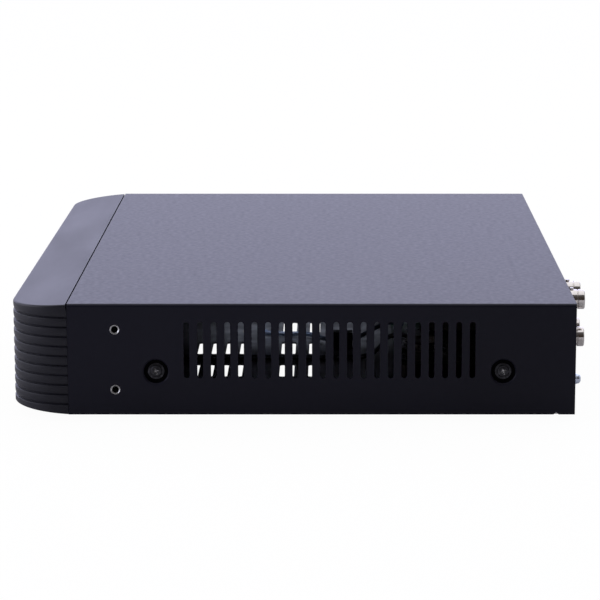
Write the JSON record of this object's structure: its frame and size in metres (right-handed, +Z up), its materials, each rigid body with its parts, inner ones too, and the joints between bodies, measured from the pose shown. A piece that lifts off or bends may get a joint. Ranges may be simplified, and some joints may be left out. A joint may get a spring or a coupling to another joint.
{
  "type": "digital video recorder",
  "caption": "Low black steel box with a ribbed plastic front, vented sides and rear camera jacks, holding a main board, a disk drive and a fan.",
  "frame": {"origin": "on the ground under the middle of the recorder's whole box, jacks included", "axes": "+X to the right side seen from the front, +Y to the rear panel, +Z up; the bezel faces -Y"},
  "size_m": [0.325, 0.2706, 0.055],
  "materials": {
    "black_paint": "fine-textured satin powder coat",
    "galvanised_steel": "bare galvanised sheet",
    "black_plastic": "satin moulded",
    "smoked_window": "polished, dark",
    "clear_plastic": "clear moulded",
    "nickel_plate": "bright nickel plate",
    "zinc_plate": "blue zinc plate",
    "black_rubber": "soft matt",
    "board_laminate": "green solder mask",
    "chip_epoxy": "moulded epoxy",
    "bare_aluminium": "satin",
    "cast_aluminium": "as cast",
    "mirror_disk": "polished",
    "socket_plastic": "moulded blue",
    "lead_sheath": "satin sheath"
  },
  "bodies": {
    "case": {"audio_sockets": "black_plastic", "base_chassis": "galvanised_steel", "board_screw_1": "zinc_plate", "board_screw_2": "zinc_plate", "board_screw_3": "zinc_plate", "board_screw_4": "zinc_plate", "camera_jack_lower_1": "nickel_plate", "camera_jack_lower_2": "nickel_plate", "camera_jack_upper_1": "nickel_plate", "camera_jack_upper_2": "nickel_plate", "capacitor": "bare_aluminium", "clock_cell": "nickel_plate", "drive_base": "cast_aluminium", "drive_board": "board_laminate", "drive_data_lead": "lead_sheath", "drive_lead_header": "black_plastic", "drive_lid": "bare_aluminium", "drive_plug": "chip_epoxy", "drive_power_lead": "lead_sheath", "drive_screw_1": "zinc_plate", "drive_screw_2": "zinc_plate", "drive_screw_3": "zinc_plate", "drive_screw_4": "zinc_plate", "fan_frame": "black_plastic", "fan_lead": "lead_sheath", "foot_front_left": "black_rubber", "foot_front_right": "black_rubber", "foot_rear_left": "black_rubber", "foot_rear_right": "black_rubber", "front_bezel": "black_plastic", "front_board": "board_laminate", "front_panel_lead": "lead_sheath", "front_usb_socket": "nickel_plate", "ground_screw": "zinc_plate", "hdmi_socket": "nickel_plate", "heat_sink": "bare_aluminium", "infrared_receiver": "chip_epoxy", "jack_housing_1": "black_plastic", "jack_housing_2": "black_plastic", "lead_clip": "black_plastic", "light_guide": "clear_plastic", "main_board": "board_laminate", "main_processor": "chip_epoxy", "memory_chip_1": "chip_epoxy", "memory_chip_2": "chip_epoxy", "network_socket": "nickel_plate", "power_socket": "black_plastic", "rear_usb_sockets": "nickel_plate", "rocker_housing": "black_plastic", "side_screw_front_left": "black_paint", "side_screw_front_right": "black_paint", "side_screw_rear_left": "black_paint", "side_screw_rear_right": "black_paint", "status_window": "smoked_window", "top_cover": "black_paint", "vga_socket": "socket_plastic"},
    "fan_rotor": {"fan_rotor": "black_plastic"},
    "drive_spindle": {"drive_platters": "mirror_disk"},
    "head_arm": {"head_arm": "cast_aluminium"},
    "rocker": {"power_rocker": "black_plastic"}
  },
  "joints": [
    {"name": "fan_spin", "type": "hinge", "parent": "case", "child": "fan_rotor", "pos_m": [-0.1531, 0.06345, 0.027], "axis": [1, 0, 0], "continuous": true},
    {"name": "platter_spin", "type": "hinge", "parent": "case", "child": "drive_spindle", "pos_m": [-0.1055, -0.05155, 0.0215], "axis": [0, 0, 1], "continuous": true},
    {"name": "head_swing", "type": "hinge", "parent": "case", "child": "head_arm", "pos_m": [-0.1325, 0.00445, 0.0215], "axis": [0, 0, 1], "range_deg": [0, 24]},
    {"name": "rocker_tilt", "type": "hinge", "parent": "case", "child": "rocker", "pos_m": [-0.1185, 0.12275, 0.0365], "axis": [0, 0, 1], "range_deg": [-16, 0]}
  ]
}
